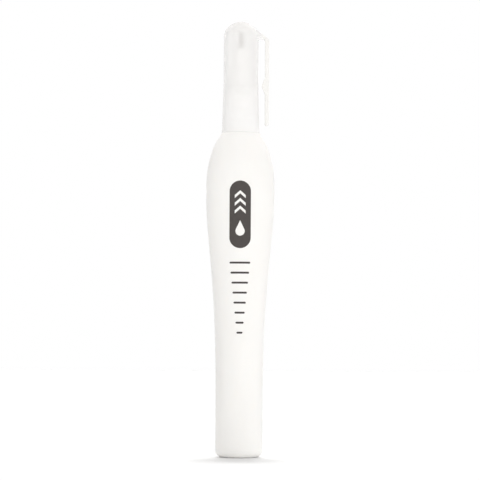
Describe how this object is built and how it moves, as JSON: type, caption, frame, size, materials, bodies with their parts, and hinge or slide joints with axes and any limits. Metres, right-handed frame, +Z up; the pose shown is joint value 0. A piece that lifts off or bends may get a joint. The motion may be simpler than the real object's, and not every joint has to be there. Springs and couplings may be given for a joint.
{
  "type": "correction pen",
  "caption": "Squeeze-bottle correction pen with an oval grip, a sprung needle valve in a steel tip, and a translucent push-on cap with a clip.",
  "frame": {"origin": "centre of the flat base that the pen stands on", "axes": "+Z up the pen's axis towards the cap, +X towards the clip, -Y the printed front"},
  "size_m": [0.0214, 0.0166, 0.137],
  "materials": {
    "barrel_polyethylene": "satin moulded white",
    "cap_polypropylene": "milky translucent",
    "nozzle_polypropylene": "moulded white",
    "gasket_rubber": "soft translucent white",
    "tip_steel": "turned stainless steel",
    "needle_steel": "ground stainless steel",
    "spring_steel": "drawn wire",
    "seat_acetal": "moulded natural",
    "ball_steel": "polished"
  },
  "bodies": {
    "barrel": {"squeeze_barrel": "barrel_polyethylene", "nozzle": "nozzle_polypropylene", "nozzle_gasket": "gasket_rubber", "metal_tip": "tip_steel", "spring_seat": "seat_acetal", "needle_spring": "spring_steel"},
    "cap": {"cap": "cap_polypropylene"},
    "needle": {"valve_needle": "needle_steel"},
    "ball": {"mixing_ball": "ball_steel"}
  },
  "joints": [
    {"name": "cap_pull", "type": "slide", "parent": "barrel", "child": "cap", "axis": [0, 0, 1], "range_m": [0, 0.04]},
    {"name": "needle_press", "type": "slide", "parent": "barrel", "child": "needle", "axis": [0, 0, -1], "range_m": [0, 0.0003], "stiffness_N_per_m": 200, "springref_m": -0.0005, "deforming": ["needle_spring"]},
    {"name": "ball_rattle", "type": "slide", "parent": "barrel", "child": "ball", "axis": [0, 0, 1], "range_m": [0, 0.1]}
  ]
}
